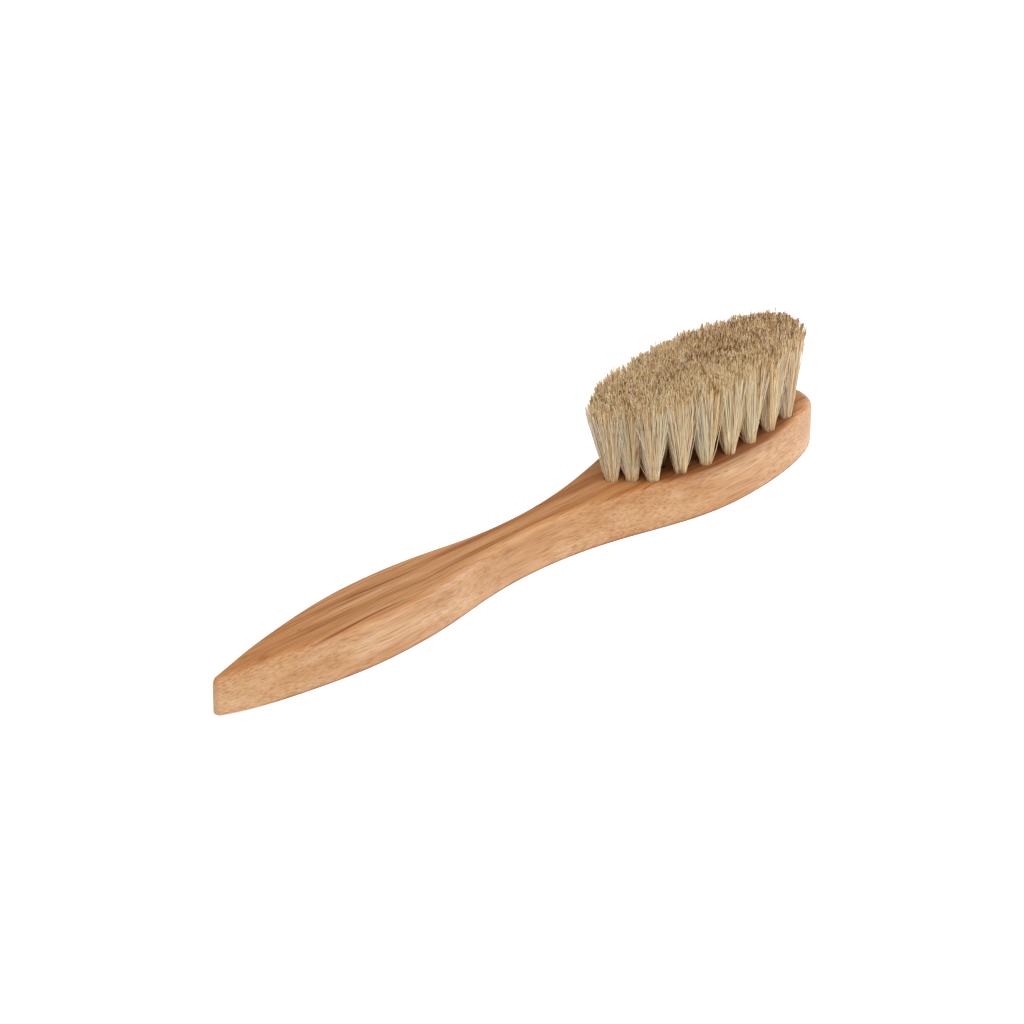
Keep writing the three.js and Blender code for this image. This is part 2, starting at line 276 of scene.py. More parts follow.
# %% [markdown]
# ## Oak, inside and out
# Oak shows three things at once: broad growth bands, fine fibres and open pores that look like
# short dark dashes. All run along the board. A picture of wood would do, but it would smear where
# the outline curves. A solid pattern in the board's own coordinates is cut through by each face as
# real wood is, so bands on the top turn into flowing figure on the sides. The same figure is needed
# for the oiled outside and for the bare wood in the holes, so it is a node group.

# %% Nodes in few words


def add(tree, kind, **values):
    """A new node; plain values set its properties, and names of its inputs set their defaults."""
    node = tree.nodes.new(kind)
    for key, value in values.items():
        if key in node.inputs:
            node.inputs[key].default_value = value
        else:
            setattr(node, key, value)
    return node


def feed(tree, slot, term):
    """A socket is linked to the slot; a number, or a colour of three, is set on it."""
    if isinstance(term, bpy.types.NodeSocket):
        tree.links.new(term, slot)
    else:
        slot.default_value = (*term, 1.0) if isinstance(term, tuple) else term


def math_node(tree, operation, *terms):
    """One step of arithmetic; each term is a socket or a number."""
    node = add(tree, "ShaderNodeMath", operation=operation)
    for slot, term in zip(node.inputs, terms):
        feed(tree, slot, term)
    return node.outputs[0]


def opposite(tree, mask):
    """1 minus a mask."""
    return math_node(tree, "SUBTRACT", 1.0, mask)


def parts_of(tree, vector):
    """The X, Y and Z of a vector, by name."""
    node = add(tree, "ShaderNodeSeparateXYZ")
    tree.links.new(vector, node.inputs[0])
    return node.outputs


def smooth_step(tree, value, low, high):
    """0 below low, 1 above high, with a soft rise between."""
    node = add(tree, "ShaderNodeMapRange", interpolation_type="SMOOTHSTEP")
    node.inputs["From Min"].default_value = low
    node.inputs["From Max"].default_value = high
    tree.links.new(value, node.inputs["Value"])
    return node.outputs[0]


def stretched_noise(tree, vector, scale, detail, roughness):
    """Noise on a vector, each axis multiplied by its own scale."""
    mapping = add(tree, "ShaderNodeMapping", Scale=scale)
    noise = add(tree, "ShaderNodeTexNoise", Scale=1.0, Detail=detail, Roughness=roughness)
    tree.links.new(vector, mapping.inputs["Vector"])
    tree.links.new(mapping.outputs[0], noise.inputs["Vector"])
    return noise.outputs["Fac"]


node_helpers = (add, feed, math_node, opposite, parts_of, smooth_step, stretched_noise)
print("node helpers:", [helper.__name__ for helper in node_helpers])

# %% Colours in few words


def srgb(red, green, blue):
    """A colour read off in 0 to 255 as the linear values that a shader takes."""
    c = np.array([red, green, blue]) / 255
    return tuple(np.where(c <= 0.04045, c / 12.92, ((c + 0.055) / 1.055) ** 2.4).tolist())


def grey(value):
    """A linear grey, or a plain factor for all three parts of a colour."""
    return (value, value, value)


def ramp(tree, value, stops):
    """A colour ramp from a list of positions and colours."""
    node = add(tree, "ShaderNodeValToRGB")
    elements = node.color_ramp.elements
    while len(elements) < len(stops):
        elements.new(0.5)
    for element, (position, colour) in zip(elements, stops):
        element.position = position
        element.color = (*colour, 1.0)
    tree.links.new(value, node.inputs[0])
    return node.outputs[0]


def mix(tree, blend, factor, first, second):
    """Two colours mixed; each of the three terms is a socket or a plain value.

    On this node the factor is input 0, the colours are inputs 6 and 7, and the result is
    output 2."""
    node = add(tree, "ShaderNodeMix", data_type="RGBA", blend_type=blend)
    for slot, term in zip((node.inputs[0], node.inputs[6], node.inputs[7]),
                          (factor, first, second)):
        feed(tree, slot, term)
    return node.outputs[2]


print("half-way grey as a shader takes it:", srgb(128, 128, 128)[0])

# %% The oak figure as a node group
NOISES = {  # scales along, across and up the board, then detail and roughness
    "drift": ((0.014, 0.05, 0.05), 2.0, 0.5),
    "band": ((0.014, 0.42, 0.07), 4.0, 0.62),
    "streak": ((0.013, 1.05, 0.25), 2.5, 0.55),
    "fibre": ((0.06, 3.2, 3.2), 4.0, 0.65),
    "dash": ((0.13, 2.9, 2.9), 1.5, 0.5),
    "patch": ((0.05, 0.22, 0.22), 2.0, 0.5),
    "speck": ((0.22, 1.3, 1.3), 1.0, 0.5),
    "broad": ((0.03, 0.14, 0.14), 3.0, 0.55),
    "tint": ((0.1, 0.8, 0.8), 3.0, 0.6),
}
SOFT_STEPS = {"streak": (0.55, 0.67), "dash": (0.56, 0.63), "patch": (0.3, 0.62),
              "speck": (0.76, 0.82)}
RING_LEAN, RING_DRIFT, FIGURE_SHIFT = 0.25, 9.0, 8.0
OAK_PARTS = ("Band", "Streak", "Fibre", "Fleck", "Speck", "Broad", "Tint")

oak = bpy.data.node_groups.new("oak_figure", "ShaderNodeTree")
oak.interface.new_socket("Millimetres", in_out="INPUT", socket_type="NodeSocketVector")
for label in OAK_PARTS:
    oak.interface.new_socket(label, in_out="OUTPUT", socket_type="NodeSocketFloat")
board = add(oak, "NodeGroupInput").outputs[0]
figure = add(oak, "NodeGroupOutput")


def grain(name, vector):
    """One noise of the list, turned into a mask where it has a soft step."""
    noise = stretched_noise(oak, vector, *NOISES[name])
    return smooth_step(oak, noise, *SOFT_STEPS[name]) if name in SOFT_STEPS else noise


# Growth rings lean with height and wander along the board, so their place is y + lean z + drift.
axes = parts_of(oak, board)
ring_place = math_node(oak, "MULTIPLY_ADD", axes["Z"], RING_LEAN, axes["Y"])
ring_place = math_node(oak, "MULTIPLY_ADD", grain("drift", board), RING_DRIFT, ring_place)
ring_place = math_node(oak, "ADD", ring_place, FIGURE_SHIFT)
grown = add(oak, "ShaderNodeCombineXYZ")
for source, target in ((axes["X"], "X"), (ring_place, "Y"), (axes["Z"], "Z")):
    oak.links.new(source, grown.inputs[target])
masks = {"Band": grain("band", grown.outputs[0]), "Streak": grain("streak", grown.outputs[0]),
         "Fleck": math_node(oak, "MULTIPLY", grain("dash", board), grain("patch", board))}
masks |= {label: grain(label.lower(), board) for label in OAK_PARTS if label not in masks}
for label in OAK_PARTS:
    oak.links.new(masks[label], figure.inputs[label])
print("oak figure nodes:", len(oak.nodes))

# %% [markdown]
# ## The oiled outside and the bare holes
# The two broad faces are darker and redder than the sawn sides, partly from oil and grain and
# partly as painted shade, for they take less light than the sides. Hands polish the eased edges.
# A piece knows which way each spot faces, so the upright part of its normal tells face, side and
# rounded edge apart. That is steadier than painting, because it follows any change of shape.
# The colour also drifts from tawny to pale and back in long waves along the board. The lower edge,
# by the table, is darker as a painted contact shadow, and an oval round the hair is darker as a
# painted shadow of the overhanging hair.

# %% Start a finish


def new_material(name, roughness, specular):
    """A finish with its shader; returns the material, its tree and the shader."""
    material = bpy.data.materials.new(name)
    material.use_nodes = True
    shader = material.node_tree.nodes["Principled BSDF"]
    shader.inputs["Roughness"].default_value = roughness
    shader.inputs["Specular IOR Level"].default_value = specular
    return material, material.node_tree, shader


def oak_in(tree):
    """The oak figure placed in a finish, on the piece's own coordinates in millimetres."""
    coordinates = add(tree, "ShaderNodeTexCoord")
    to_mm = add(tree, "ShaderNodeMapping", Scale=(1 / MM, 1 / MM, 1 / MM))
    group = add(tree, "ShaderNodeGroup", node_tree=oak)
    tree.links.new(coordinates.outputs["Object"], to_mm.inputs["Vector"])
    tree.links.new(to_mm.outputs[0], group.inputs[0])
    return coordinates.outputs, group.outputs


def bumped(tree, shader, height, strength, distance):
    """Height in 0 to 1, over a distance in millimetres, as unevenness of the shader's normal."""
    bump = add(tree, "ShaderNodeBump", Strength=strength, Distance=distance * MM)
    tree.links.new(height, bump.inputs["Height"])
    tree.links.new(bump.outputs[0], shader.inputs["Normal"])


oiled_oak, tree, shader = new_material("oiled_oak", roughness=0.5, specular=0.35)
coordinates, wood = oak_in(tree)
place = parts_of(tree, coordinates["Object"])
level = math_node(tree, "ABSOLUTE", parts_of(tree, coordinates["Normal"])["Z"])
print("oak figure in the finish:", [socket.name for socket in wood])

# %% Tone of the faces and the sides
FACE_FROM, FACE_TO = 0.3, 0.92
SIDE_TONES = ((0.3, srgb(199, 150, 104)), (0.5, srgb(214, 171, 130)), (0.68, srgb(229, 195, 160)))
FACE_TONES = ((0.3, srgb(166, 107, 61)), (0.43, srgb(193, 137, 87)), (0.55, srgb(207, 155, 106)),
              (0.72, srgb(217, 172, 126)))
STREAK_TONE, STREAK_ON_SIDE, STREAK_MORE_ON_FACE = srgb(178, 134, 94), 0.12, 0.78
ROSY, TAWNY, TINT_FROM, TINT_TO = srgb(255, 247, 243), srgb(249, 239, 219), 0.38, 0.62
WAVE_START, WAVE_LENGTH = -85.0, 112.0
WAVE_TONES = ((0.0, (1.02, 1.07, 1.15)), (1.0, (0.96, 0.92, 0.84)))

# The faces' darker, redder tones are partly oil and grain and partly painted shade.
face_mask = smooth_step(tree, level, FACE_FROM, FACE_TO)
tone = mix(tree, "MIX", face_mask, ramp(tree, wood["Broad"], SIDE_TONES),
           ramp(tree, wood["Band"], FACE_TONES))
streak_depth = math_node(tree, "MULTIPLY", wood["Streak"], math_node(
    tree, "MULTIPLY_ADD", face_mask, STREAK_MORE_ON_FACE, STREAK_ON_SIDE))
streaked = mix(tree, "MULTIPLY", streak_depth, tone, STREAK_TONE)
tint_mask = smooth_step(tree, wood["Tint"], TINT_FROM, TINT_TO)
mottled = mix(tree, "MIX", tint_mask, mix(tree, "MULTIPLY", 1.0, streaked, ROSY),
              mix(tree, "MULTIPLY", 1.0, streaked, TAWNY))
# The wave is (1 + cos 2 pi (x - start) / length) / 2, which runs between 0 and 1.
wave_turn = math_node(tree, "MULTIPLY_ADD", place["X"], 2 * math.pi / (WAVE_LENGTH * MM),
                      -2 * math.pi * WAVE_START / WAVE_LENGTH)
wave = math_node(tree, "MULTIPLY_ADD", math_node(tree, "COSINE", wave_turn), 0.5, 0.5)
drifted = mix(tree, "MULTIPLY", 1.0, mottled, ramp(tree, wave, WAVE_TONES))
print("nodes up to the tone:", len(tree.nodes))

# %% Fibres, pores, painted contact shadow and painted hair shadow
FIBRE_DEPTH, FLECK_DEPTH, SPECK_DEPTH = 0.8, 0.42, 0.75
FIBRE_TONES = ((0.3, srgb(198, 168, 136)), (0.5, grey(1.0)), (0.7, grey(1.12)))
FLECK_TONE, SPECK_TONE = srgb(184, 114, 62), srgb(126, 76, 38)
# Painted contact shadow along the lower edge, by the table.
CONTACT_SHADOW_TONE, CONTACT_SHADOW_LOW, CONTACT_SHADOW_HIGH = srgb(172, 144, 120), 0.1 * MM, 0.9 * MM
FLAT_FROM, FLAT_TO = 0.9, 0.99
# Painted shadow of the overhanging hair: a darker oval on the face round the tufts.
HAIR_SHADOW_TONE, HAIR_SHADOW_X, HAIR_SHADOW_LENGTH, HAIR_SHADOW_WIDTH = srgb(188, 172, 160), 56.5, 28.5, 13.8
HAIR_SHADOW_FULL, HAIR_SHADOW_END = 0.78, 1.06
TOP_FROM, TOP_TO = 0.78 * THICKNESS * MM, 0.97 * THICKNESS * MM
OILED_ROUGHNESS, PORE_ROUGHNESS, PORE_DEPTH = 0.46, 0.2, 0.6

fibred = mix(tree, "MULTIPLY", FIBRE_DEPTH, drifted, ramp(tree, wood["Fibre"], FIBRE_TONES))
fleck_depth = math_node(tree, "MULTIPLY", wood["Fleck"], FLECK_DEPTH)
speck_depth = math_node(tree, "MULTIPLY", wood["Speck"], SPECK_DEPTH)
flecked = mix(tree, "MIX", fleck_depth, fibred, FLECK_TONE)
specked = mix(tree, "MIX", speck_depth, flecked, SPECK_TONE)
above_table = smooth_step(tree, place["Z"], CONTACT_SHADOW_LOW, CONTACT_SHADOW_HIGH)
flat_back = smooth_step(tree, level, FLAT_FROM, FLAT_TO)
# Painted contact shadow: low on the handle, but not on the flat back.
contact_shadow = math_node(tree, "MULTIPLY", opposite(tree, above_table), opposite(tree, flat_back))
contact_shadowed_oak = mix(tree, "MULTIPLY", contact_shadow, specked, CONTACT_SHADOW_TONE)
# The painted shadow of the hair is an oval: ((x - middle) / length)^2 + (y / width)^2 is below 1
# inside it.
lengthwise = math_node(tree, "MULTIPLY_ADD", place["X"], 1 / (HAIR_SHADOW_LENGTH * MM),
                       -HAIR_SHADOW_X / HAIR_SHADOW_LENGTH)
crosswise = math_node(tree, "DIVIDE", place["Y"], HAIR_SHADOW_WIDTH * MM)
oval = math_node(tree, "MULTIPLY_ADD", lengthwise, lengthwise,
                 math_node(tree, "MULTIPLY", crosswise, crosswise))
on_top = smooth_step(tree, place["Z"], TOP_FROM, TOP_TO)
# The painted shadow of the hair falls only on the face, inside the oval.
hair_shadow = math_node(tree, "MULTIPLY", on_top,
                  opposite(tree, smooth_step(tree, oval, HAIR_SHADOW_FULL, HAIR_SHADOW_END)))
tree.links.new(mix(tree, "MULTIPLY", hair_shadow, contact_shadowed_oak, HAIR_SHADOW_TONE), shader.inputs["Base Color"])
tree.links.new(math_node(tree, "MULTIPLY_ADD", wood["Fleck"], PORE_ROUGHNESS, OILED_ROUGHNESS),
               shader.inputs["Roughness"])
relief = math_node(tree, "MULTIPLY_ADD", wood["Fleck"], -PORE_DEPTH, wood["Fibre"])
bumped(tree, shader, relief, strength=0.35, distance=0.12)
print("oiled oak nodes:", len(tree.nodes))

# %% Bare oak in the holes
BARE_TONES = ((0.3, srgb(120, 78, 46)), (0.7, srgb(158, 110, 70)))

bare_oak, tree, shader = new_material("bare_oak", roughness=0.85, specular=0.2)
_, wood = oak_in(tree)
tree.links.new(ramp(tree, wood["Fibre"], BARE_TONES), shader.inputs["Base Color"])
bumped(tree, shader, wood["Fibre"], strength=0.6, distance=0.2)
print("finishes:", oiled_oak.name, bare_oak.name)

# %% [markdown]
# ## Drilled holes
# Each hole is drilled and lightly countersunk. Hair hides most of a hole, but without it the tuft
# would seem to grow out of plain wood. A turned cutter per hole, all in one mesh, is taken out of
# the handle with one Boolean, and the cutter's finish stays on the cut walls.

# %% A cutter for all the holes
HOLE_RADIUS, HOLE_DEPTH, DRILL_POINT = 1.6, 9.0, 1.08
COUNTERSINK, HOLE_SIDES = 0.18, 28
MERGE_GAP, SLIVER = 1e-7, 1e-8


def turned(profile, sides):
    """A profile of radius and height turned about Z: x = r cos a, y = r sin a, z = h."""
    a = np.linspace(0, 2 * math.pi, sides, endpoint=False)
    radius, height = np.array(profile).T
    return np.stack([radius[:, None] * np.cos(a), radius[:, None] * np.sin(a),
                     np.broadcast_to(height[:, None], (len(radius), sides))], axis=-1)


def closed_mesh(name, points, faces):
    """A mesh with its doubled points merged and its faces turned outwards."""
    mesh = mesh_of(name, points, faces)
    work = bmesh.new()
    work.from_mesh(mesh)
    bmesh.ops.remove_doubles(work, verts=work.verts, dist=MERGE_GAP)
    bmesh.ops.dissolve_degenerate(work, dist=SLIVER, edges=work.edges)
    bmesh.ops.recalc_face_normals(work, faces=work.faces)
    work.to_mesh(mesh)
    work.free()
    shade_smooth(mesh)
    return mesh


drill = turned(((0, -HOLE_DEPTH), (HOLE_RADIUS, DRILL_POINT - HOLE_DEPTH),
                (HOLE_RADIUS, -COUNTERSINK), (HOLE_RADIUS + COUNTERSINK, 0),
                (HOLE_RADIUS + 2 * COUNTERSINK, COUNTERSINK), (0, COUNTERSINK)), HOLE_SIDES)
hole_places = np.column_stack([roots, np.full(len(roots), THICKNESS)])
drill_points = (drill.reshape(-1, 3)[None] + hole_places[:, None]).reshape(-1, 3)
first_points = (np.arange(len(roots)) * drill[..., 0].size)[:, None, None]
drill_faces = (grid_faces(len(drill), HOLE_SIDES)[None] + first_points).reshape(-1, 4)
cutter = in_scene("cutter", closed_mesh("cutter", drill_points, drill_faces.tolist()))
cutter.data.materials.append(bare_oak)
print("cutter faces:", len(cutter.data.polygons))

# %% Cut the holes and show the handle
SHARP_ANGLE = math.radians(32)

blank = closed_mesh("handle_wood", surface.reshape(-1, 3),
                    grid_faces(*surface.shape[:2]).tolist())
handle = show("handle_wood", blank, oiled_oak, "handle")
boolean = handle.modifiers.new("holes", "BOOLEAN")
boolean.operation = "DIFFERENCE"
boolean.solver = "EXACT"
boolean.material_mode = "TRANSFER"
boolean.object = cutter
with_holes = handle.evaluated_get(bpy.context.evaluated_depsgraph_get())
drilled = bpy.data.meshes.new_from_object(with_holes)
handle.modifiers.clear()
handle.data = drilled
drilled.name = "handle_wood"
drilled.set_sharp_from_angle(angle=SHARP_ANGLE)
bpy.data.objects.remove(cutter)
print("handle faces:", len(drilled.polygons), "finishes:", [m.name for m in drilled.materials])

# %% [markdown]
# ## Horsehair
# A tuft is a few hundred hairs, folded in half under its anchor. From the hole they fan out to a
# pad that is trimmed flat. At the pad's rim they end a little lower, and a few strays reach past
# it. Blender's own hair could do it, but it isn't a mesh, so it would be lost when the piece is
# taken elsewhere. Here each hair is a slim three-sided tube along a path of ten points, and all
# the hairs of a tuft are worked out at once. Hair sticks together in locks, so hairs share the
# place and the shade of their lock and stray from it a little.

# %% The horsehair finish
HAIR_TONES = ((0.0, srgb(102, 70, 40)), (0.2, srgb(202, 158, 108)), (0.4, srgb(245, 214, 171)),
              (0.65, srgb(255, 239, 208)), (1.0, srgb(255, 249, 235)))
HAIR_TINTS = ((0.0, srgb(255, 244, 239)), (1.0, srgb(255, 249, 219)))
TIP_TONE, TIP_FROM, TIP_TO = srgb(242, 240, 236), 0.8, 1.0
HAIR_ROUGHNESS, HAIR_DULLING = 0.38, 0.25

horsehair, tree, shader = new_material("horsehair", roughness=0.5, specular=0.25)
shade = add(tree, "ShaderNodeAttribute", attribute_name="hair_shade")
parts = add(tree, "ShaderNodeSeparateColor")
tree.links.new(shade.outputs["Color"], parts.inputs[0])
body_tone = ramp(tree, parts.outputs["Red"], HAIR_TONES)
tip_tone = mix(tree, "MULTIPLY", 1.0, body_tone, TIP_TONE)
tip_mask = smooth_step(tree, parts.outputs["Green"], TIP_FROM, TIP_TO)
toned = mix(tree, "MIX", tip_mask, body_tone, tip_tone)
tinted = mix(tree, "MULTIPLY", 1.0, toned, ramp(tree, parts.outputs["Blue"], HAIR_TINTS))
tree.links.new(tinted, shader.inputs["Base Color"])
tree.links.new(math_node(tree, "MULTIPLY_ADD", parts.outputs["Blue"], HAIR_DULLING, HAIR_ROUGHNESS),
               shader.inputs["Roughness"])
print("horsehair nodes:", len(tree.nodes))

# %% How far the hair may fan
FAN_REACH, FAN_OVERLAP, NEAR_TUFT = 4.0, 1.5, 11.0
FACING_FROM, FACING_RANGE = 0.5, 0.4
TINY = 1e-6


def reach_along(direction, tip):
    """How far hair may fan in each direction: a fixed reach outwards, past half-way to a neighbour.

    The second result is 1 where no neighbour stands in that direction, and 0 where one does. It
    follows from the largest cosine between the direction and those of the neighbours."""
    across = tips - tip
    distance = np.linalg.norm(across, axis=1)
    near = (distance > 0) & (distance < NEAR_TUFT)
    across, distance = across[near], distance[near]
    cosine = np.clip(direction @ (across / distance[:, None]).T, TINY, None)
    room = ((distance / 2 + FAN_OVERLAP) / cosine).min(axis=1)
    facing = np.clip((cosine.max(axis=1) - FACING_FROM) / FACING_RANGE, 0, 1)
    return FAN_REACH + facing * (np.minimum(room, NEAR_TUFT) - FAN_REACH), 1 - facing


print("reach of the first tuft, away from the rest:", reach_along(np.array([[-1.0, 0.0]]), tips[0]))

# %% Where each hair stands and ends
LOCKS, HAIRS_PER_LOCK = 22, 24
GOLDEN_ANGLE, LOCK_CROWDING = math.pi * (3 - math.sqrt(5)), 0.43
ROOT_SCATTER, PAD_SCATTER = 0.15, 0.2
HAIR_TOP, TRIM_BELOW, TRIM_ABOVE = 21.2, 0.55, 0.9
END_DROP, RIM_DROP, STRAY_RISE = 0.7, 1.4, 2.0
SHORT_SHARE, SHORT_MOST = 0.12, 3.0


def hair_places(rng):
    """Places in the bundle and on the pad, as parts of their radius.

    Locks follow a sunflower's spiral: each turns by the golden angle and lies at (rank / count)^p
    from the middle. A hair strays from its lock by two normal draws, and is kept in the bundle."""
    lock = np.arange(LOCKS)
    spread = ((lock + 0.5) / LOCKS) ** LOCK_CROWDING
    bearing = lock * GOLDEN_ANGLE + rng.uniform(0, 2 * math.pi)
    centre = spread[:, None] * np.stack([np.cos(bearing), np.sin(bearing)], axis=1)
    centre = np.repeat(centre, HAIRS_PER_LOCK, axis=0)
    low = centre + rng.normal(0, ROOT_SCATTER, centre.shape)
    high = centre + rng.normal(0, PAD_SCATTER, centre.shape)
    return low / np.maximum(1, np.linalg.norm(low, axis=1))[:, None], high


def hair_tops(index, stray, free, size, rng):
    """Heights at which the hairs end: the trim, less and more by a draw, and some cut short.

    Towards the head's end, and on the free rim by the square of the size, they end lower, and
    strays end higher."""
    count = len(stray)
    top = (HAIR_TOP - END_DROP * endward[index] - np.abs(rng.normal(0, TRIM_BELOW, count))
           + rng.uniform(0, TRIM_ABOVE, count))
    short = np.where(rng.uniform(size=count) < SHORT_SHARE, rng.uniform(0, SHORT_MOST, count), 0)
    top -= short + RIM_DROP * free * size ** 2
    return top + STRAY_RISE * (stray - 1)


print("hairs in a tuft:", LOCKS * HAIRS_PER_LOCK)

# %% Paths for all the hairs of a tuft
SEED = 7
BUNDLE_RADIUS, FOLD_GAP, PAD_RIM = 1.42, 0.34, 1.08
IN_HOLE = np.array([-7.35, -6.6, -4.4, 0.0])  # heights, from the fold to the face
ABOVE = np.array([0.15, 0.32, 0.5, 0.7, 0.89, 1.0])  # shares of a hair's own height
STRAY_SHARE, STRAY_LEAST, STRAY_MOST = 0.04, 1.1, 1.35
LOOSE_SHARE, LOOSE_BEND, BEND_LEAST, BEND_MOST = 0.04, 0.65, 1.1, 1.32
BOW = 0.25


def hole_points(index, offset):
    """Points down in the hole: straight from the root, parted by the anchor, together under it."""
    part = np.where(offset[:, 1] < 0, -1, 1) * np.maximum(np.abs(offset[:, 1]), FOLD_GAP)
    sink = np.zeros((len(offset), len(IN_HOLE), 3))
    sink[..., 0] = (roots[index, 0] + offset[:, 0])[:, None]
    sink[:, 0, 1] = roots[index, 1]
    sink[:, 1:3, 1] = roots[index, 1] + part[:, None]
    sink[:, 3, 1] = roots[index, 1] + offset[:, 1]
    sink[..., 2] = IN_HOLE
    return sink


def hair_paths(index, rng):
    """Ten points per hair: those in the hole, and then those above the wood.

    There height h runs from 0 to 1 and the hair leaves its root for its own spot on the pad,
    root + (spot - root) h^b, with a bow of sin(pi h) to one side. The bend b is a little over 1 for
    a whole tuft, and lower for a few loose hairs that leave it sooner."""
    low, high = hair_places(rng)
    count = len(low)
    size = np.maximum(np.linalg.norm(high, axis=1), TINY)
    direction = high / size[:, None]
    stray = np.where(rng.uniform(size=count) < STRAY_SHARE,
                     rng.uniform(STRAY_LEAST, STRAY_MOST, count), 1.0)
    reach, free = reach_along(direction, tips[index])
    size = np.minimum(size, PAD_RIM)
    spot = tips[index] + direction * (size * reach * stray)[:, None]
    offset = low * BUNDLE_RADIUS
    root = roots[index] + offset
    top = hair_tops(index, stray, free, size, rng)
    bow = rng.normal(0, BOW, (count, 2))
    bend = np.where(rng.uniform(size=count) < LOOSE_SHARE, LOOSE_BEND,
                    rng.uniform(BEND_LEAST, BEND_MOST))[:, None, None]
    h = ABOVE[None, :, None]
    fan = root[:, None] + (spot - root)[:, None] * h ** bend + bow[:, None] * np.sin(math.pi * h)
    rise = np.concatenate([fan, (top[:, None] * ABOVE)[..., None]], axis=-1)
    path = np.concatenate([hole_points(index, offset), rise], axis=1)
    path[..., 2] += THICKNESS
    return path


rng = np.random.default_rng(SEED)
print("path block of one tuft:", hair_paths(0, rng).shape)

# %% Tubes along the paths
HAIR_WIDTH, HAIR_SIDES = 0.18, 3
THINNEST, THICKEST, ROOT_WIDTH, TIP_WIDTH = 0.75, 1.25, 1.05, 0.8


def hair_tubes(path, rng):
    """A ring of points round each path point: centre + w (cos a, sin a, 0).

    The half width w thins to the tip, and both ends are closed."""
    count, rings = path.shape[:2]
    start = rng.uniform(0, 2 * math.pi, count)[:, None]
    a = np.arange(HAIR_SIDES) * 2 * math.pi / HAIR_SIDES + start
    circle = np.stack([np.cos(a), np.sin(a), 0 * a], axis=-1)
    width = (HAIR_WIDTH / 2 * rng.uniform(THINNEST, THICKEST, count)[:, None]
             * np.linspace(ROOT_WIDTH, TIP_WIDTH, rings))
    points = path[:, :, None] + width[:, :, None, None] * circle[:, None]
    first = (np.arange(count) * rings * HAIR_SIDES)[:, None]
    walls = (first[..., None] + grid_faces(rings, HAIR_SIDES)[None]).reshape(-1, 4)
    bottoms = first + np.arange(HAIR_SIDES)[::-1]
    tops = first + (rings - 1) * HAIR_SIDES + np.arange(HAIR_SIDES)
    return points.reshape(-1, 3), walls.tolist() + bottoms.tolist() + tops.tolist()


print("points round each hair:", HAIR_SIDES * (len(IN_HOLE) + len(ABOVE)))

# %% Shades of the hair, and the tufts
LOCK_TONE, TUFT_RANGE, LOCK_RANGE, HAIR_RANGE, DARKEST = 0.84, 0.04, 0.17, 0.28, 0.1
ROOT_SHADE, ROOT_SHADE_REACH = 1.0, 0.75
ROOT_CONTACT_SHADE, TIP_SHADE, RIM_TIP_SHADE, END_SOIL = 0.3, 0.95, 0.68, 0.11
HUE_LEAST, HUE_MOST, HUE_DRIFT, HAIR_HUE = 0.1, 0.36, 0.1, 0.5
INSIDE = tuple(f"inner_{i}" for i in range(2, INNER_COUNT))


def hair_shades(index, path, rng):
    """Red is the shade of a hair, green runs from root to tip, and blue is its tint and dullness.

    The shade is the sum of draws for the tuft, the lock and the hair. It falls towards the head's
    end, where hair is more soiled. In the hole and at the root it falls as painted contact shade,
    and by a draw at the tip as painted shade of the pad's top. Inside the brush it also falls off
    towards the wood, as painted shade low between the tufts."""
    count, rings = path.shape[:2]
    along = from_field[index] / INNER_REACH
    tuft = rng.normal(0, TUFT_RANGE) - END_SOIL * along
    hue = rng.uniform(HUE_LEAST, HUE_MOST) - HUE_DRIFT * along
    lock = np.repeat(rng.normal(LOCK_TONE, LOCK_RANGE, LOCKS), HAIRS_PER_LOCK)
    tone = np.clip(lock + tuft + rng.normal(0, HAIR_RANGE, count), DARKEST, 1)
    height = np.clip((path[..., 2] - THICKNESS) / HAIR_TOP, 0, 1)
    # Inner tufts get painted shade low down, where they stand between other tufts.
    root_shade = ROOT_SHADE if names[index].endswith(INSIDE) else 0.0
    tone = tone[:, None] - root_shade * np.clip(1 - height / ROOT_SHADE_REACH, 0, 1)
    # Painted shade of the pad's top: tips darker by a draw, more on the inner rows than on the rim.
    tone[:, -1] -= rng.uniform(0, TIP_SHADE if "inner" in names[index] else RIM_TIP_SHADE, count)
    # Painted contact shade on the hair in the hole and at the root.
    tone[:, :len(IN_HOLE)] -= ROOT_CONTACT_SHADE
    block = np.ones((count, rings, HAIR_SIDES, 4))
    block[..., 0] = np.clip(tone, 0, 1)[..., None]
    block[..., 1] = height[..., None]
    block[..., 2] = hue + rng.uniform(0, HAIR_HUE, count)[:, None, None]
    return block


def make_tuft(index, rng):
    """One tuft as a piece: its paths, the tubes along them and a shade at each point."""
    path = hair_paths(index, rng)
    points, faces = hair_tubes(path, rng)
    mesh = mesh_of("hair_" + names[index], points, faces)
    layer = mesh.color_attributes.new("hair_shade", "FLOAT_COLOR", "POINT")
    layer.data.foreach_set("color", hair_shades(index, path, rng).ravel())
    return show("hair_" + names[index], mesh, horsehair, "tuft_" + names[index])


tufts = [make_tuft(index, rng) for index in range(len(names))]
print("hairs in all:", len(tufts) * LOCKS * HAIRS_PER_LOCK,
      "faces each tuft:", len(tufts[0].data.polygons))

# %% [markdown]
# ## Anchors
# The anchors are flat strips nipped off a drawn wire. They are right as solids, so they stay and
# only get a finish: bright steel with fine drawing lines along the strip.

# %% A drawn steel finish
DRAWN_LINES = (200, 6000, 9000)  # along, across and up the strip, per metre
STEEL_TONES = ((0.3, srgb(150, 147, 140)), (0.7, srgb(186, 183, 176)))
STEEL_ROUGHNESS, LINE_ROUGHNESS = 0.2, 0.3

